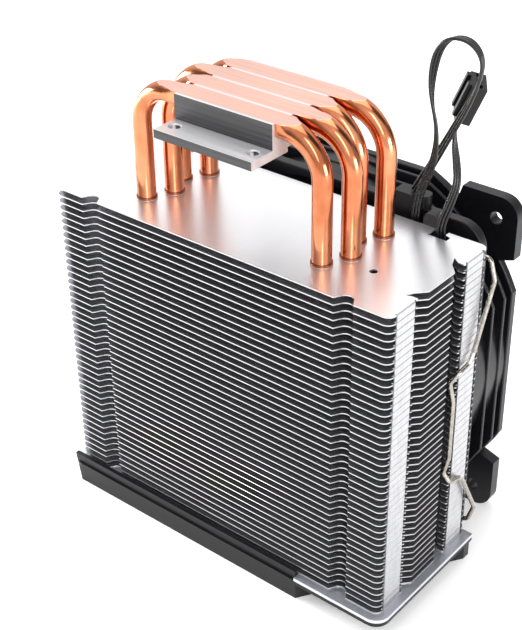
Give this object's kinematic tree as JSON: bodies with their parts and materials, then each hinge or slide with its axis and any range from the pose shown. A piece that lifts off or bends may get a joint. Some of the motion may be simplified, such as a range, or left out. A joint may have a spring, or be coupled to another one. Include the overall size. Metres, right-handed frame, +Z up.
{
  "type": "cpu tower cooler",
  "caption": "Aluminium fin tower on bent copper heat pipes, with a base block for the processor, a cap, and a wire-clipped axial fan.",
  "frame": {"origin": "the resting face of the cap, under the middle of the fin stack and of the base block", "axes": "+Z up with the cooler standing on its cap, towards the CPU contact face; X along the wide side of the fins; +Y from the fins to the fan"},
  "size_m": [0.135, 0.0818, 0.179],
  "materials": {
    "fin_aluminium": "satin rolled sheet",
    "pipe_copper": "polished copper",
    "base_aluminium": "milled, fine lengthwise lines",
    "cap_silver": "satin silver",
    "black_plastic": "satin black",
    "fan_plastic": "satin black, moulded",
    "motor_steel": "pressed steel",
    "coil_copper": "enamelled winding",
    "circuit_board": "solder mask",
    "bearing_bronze": "sintered",
    "blank_label": "plain blank sticker",
    "bright_steel": "bright drawn wire",
    "magnet": "bonded magnet",
    "rubber": "soft rubber",
    "lead_insulation": "flat black wires, satin",
    "terminal_metal": "tin plated"
  },
  "bodies": {
    "cooler": {"fin_bank_1": "fin_aluminium", "fin_bank_2": "fin_aluminium", "fin_bank_3": "fin_aluminium", "fin_bank_4": "fin_aluminium", "top_fin": "fin_aluminium", "heatpipe_1": "pipe_copper", "heatpipe_2": "pipe_copper", "heatpipe_3": "pipe_copper", "heatpipe_4": "pipe_copper", "heatpipe_end_seals": "pipe_copper", "base_block": "base_aluminium", "cap_plate": "cap_silver", "cap_cover": "black_plastic", "fan_frame": "fan_plastic", "stator_core": "motor_steel", "stator_coils": "coil_copper", "fan_circuit_board": "circuit_board", "fan_bearing": "bearing_bronze", "motor_label": "blank_label", "fan_pads": "rubber", "fan_lead": "lead_insulation", "fan_lead_strip": "lead_insulation", "lead_strain_relief": "black_plastic", "plug_housing": "black_plastic", "plug_terminals": "terminal_metal"},
    "rotor": {"impeller": "fan_plastic", "fan_shaft": "bright_steel", "shaft_retainer": "black_plastic", "magnet_ring": "magnet", "rotor_yoke": "motor_steel"},
    "clip_right": {"fan_clip_right": "bright_steel"},
    "clip_left": {"fan_clip_left": "bright_steel"}
  },
  "joints": [
    {"name": "fan_spin", "type": "hinge", "parent": "cooler", "child": "rotor", "pos_m": [0, 0.042, 0.06], "axis": [0, 1, 0], "continuous": true},
    {"name": "clip_right_swing", "type": "hinge", "parent": "cooler", "child": "clip_right", "pos_m": [0.0525, 0.0306, 0.06], "axis": [0, 0, 1], "range_deg": [0, 6], "stiffness_Nm_per_rad": 0.05, "springref_deg": -2.86},
    {"name": "clip_left_swing", "type": "hinge", "parent": "cooler", "child": "clip_left", "pos_m": [-0.0525, 0.0306, 0.06], "axis": [0, 0, -1], "range_deg": [0, 6], "stiffness_Nm_per_rad": 0.05, "springref_deg": -2.86}
  ]
}
